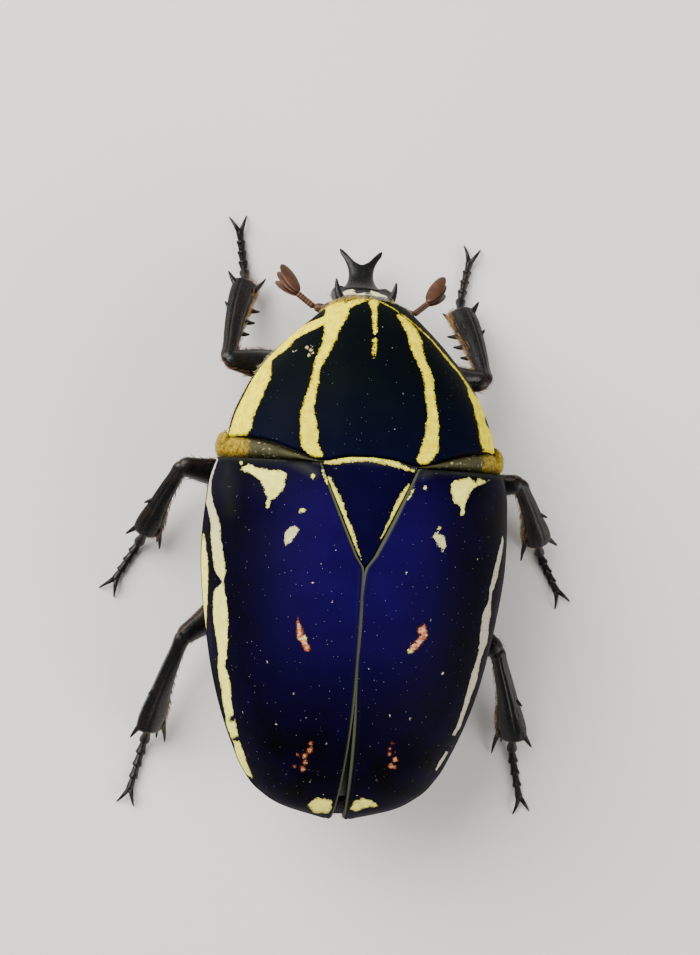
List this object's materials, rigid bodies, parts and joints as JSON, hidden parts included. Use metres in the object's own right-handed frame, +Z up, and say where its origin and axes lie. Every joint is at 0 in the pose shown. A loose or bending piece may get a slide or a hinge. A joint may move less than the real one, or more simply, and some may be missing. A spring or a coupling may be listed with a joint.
{
  "type": "flower beetle model",
  "caption": "Still, life-size flower beetle with domed wing cases, bowed horned head and jointless legs, standing on its feet.",
  "frame": {"origin": "centre of the standing beetle's box, at the floor under its feet", "axes": "+Z up, -Y towards the head, +Y towards the tail, +X towards the beetle's left"},
  "size_m": [0.051, 0.0634, 0.0226],
  "materials": {
    "velvet_wing_case": "deep blue velvety cuticle with cream marks",
    "velvet_pronotum": "green-black to navy velvety cuticle with yellow stripes",
    "black_cuticle": "glossy blue-black cuticle, finely pitted",
    "leg_cuticle": "glossy black to dark red-brown cuticle with golden hair",
    "amber_plate": "plate covered in short golden-brown hair",
    "eye": "dark, glossy, finely faceted",
    "brown_feeler": "dark brown, satin"
  },
  "bodies": {
    "root": {"pronotum": "velvet_pronotum", "prothorax_underside": "black_cuticle", "head": "black_cuticle", "horn": "black_cuticle", "scutellum": "velvet_wing_case", "thorax_underside": "black_cuticle", "abdomen": "black_cuticle", "pygidium": "velvet_wing_case", "eye_left": "eye", "antenna_left": "brown_feeler", "palp_left": "brown_feeler", "elytron_left": "velvet_wing_case", "mesepimeron_left": "amber_plate", "front_coxa_left": "leg_cuticle", "front_femur_left": "leg_cuticle", "front_tibia_left": "leg_cuticle", "front_tarsus_left": "leg_cuticle", "middle_coxa_left": "leg_cuticle", "middle_femur_left": "leg_cuticle", "middle_tibia_left": "leg_cuticle", "middle_tarsus_left": "leg_cuticle", "hind_coxa_left": "leg_cuticle", "hind_femur_left": "leg_cuticle", "hind_tibia_left": "leg_cuticle", "hind_tarsus_left": "leg_cuticle", "eye_right": "eye", "antenna_right": "brown_feeler", "palp_right": "brown_feeler", "elytron_right": "velvet_wing_case", "mesepimeron_right": "amber_plate", "front_coxa_right": "leg_cuticle", "front_femur_right": "leg_cuticle", "front_tibia_right": "leg_cuticle", "front_tarsus_right": "leg_cuticle", "middle_coxa_right": "leg_cuticle", "middle_femur_right": "leg_cuticle", "middle_tibia_right": "leg_cuticle", "middle_tarsus_right": "leg_cuticle", "hind_coxa_right": "leg_cuticle", "hind_femur_right": "leg_cuticle", "hind_tibia_right": "leg_cuticle", "hind_tarsus_right": "leg_cuticle"}
  },
  "joints": []
}
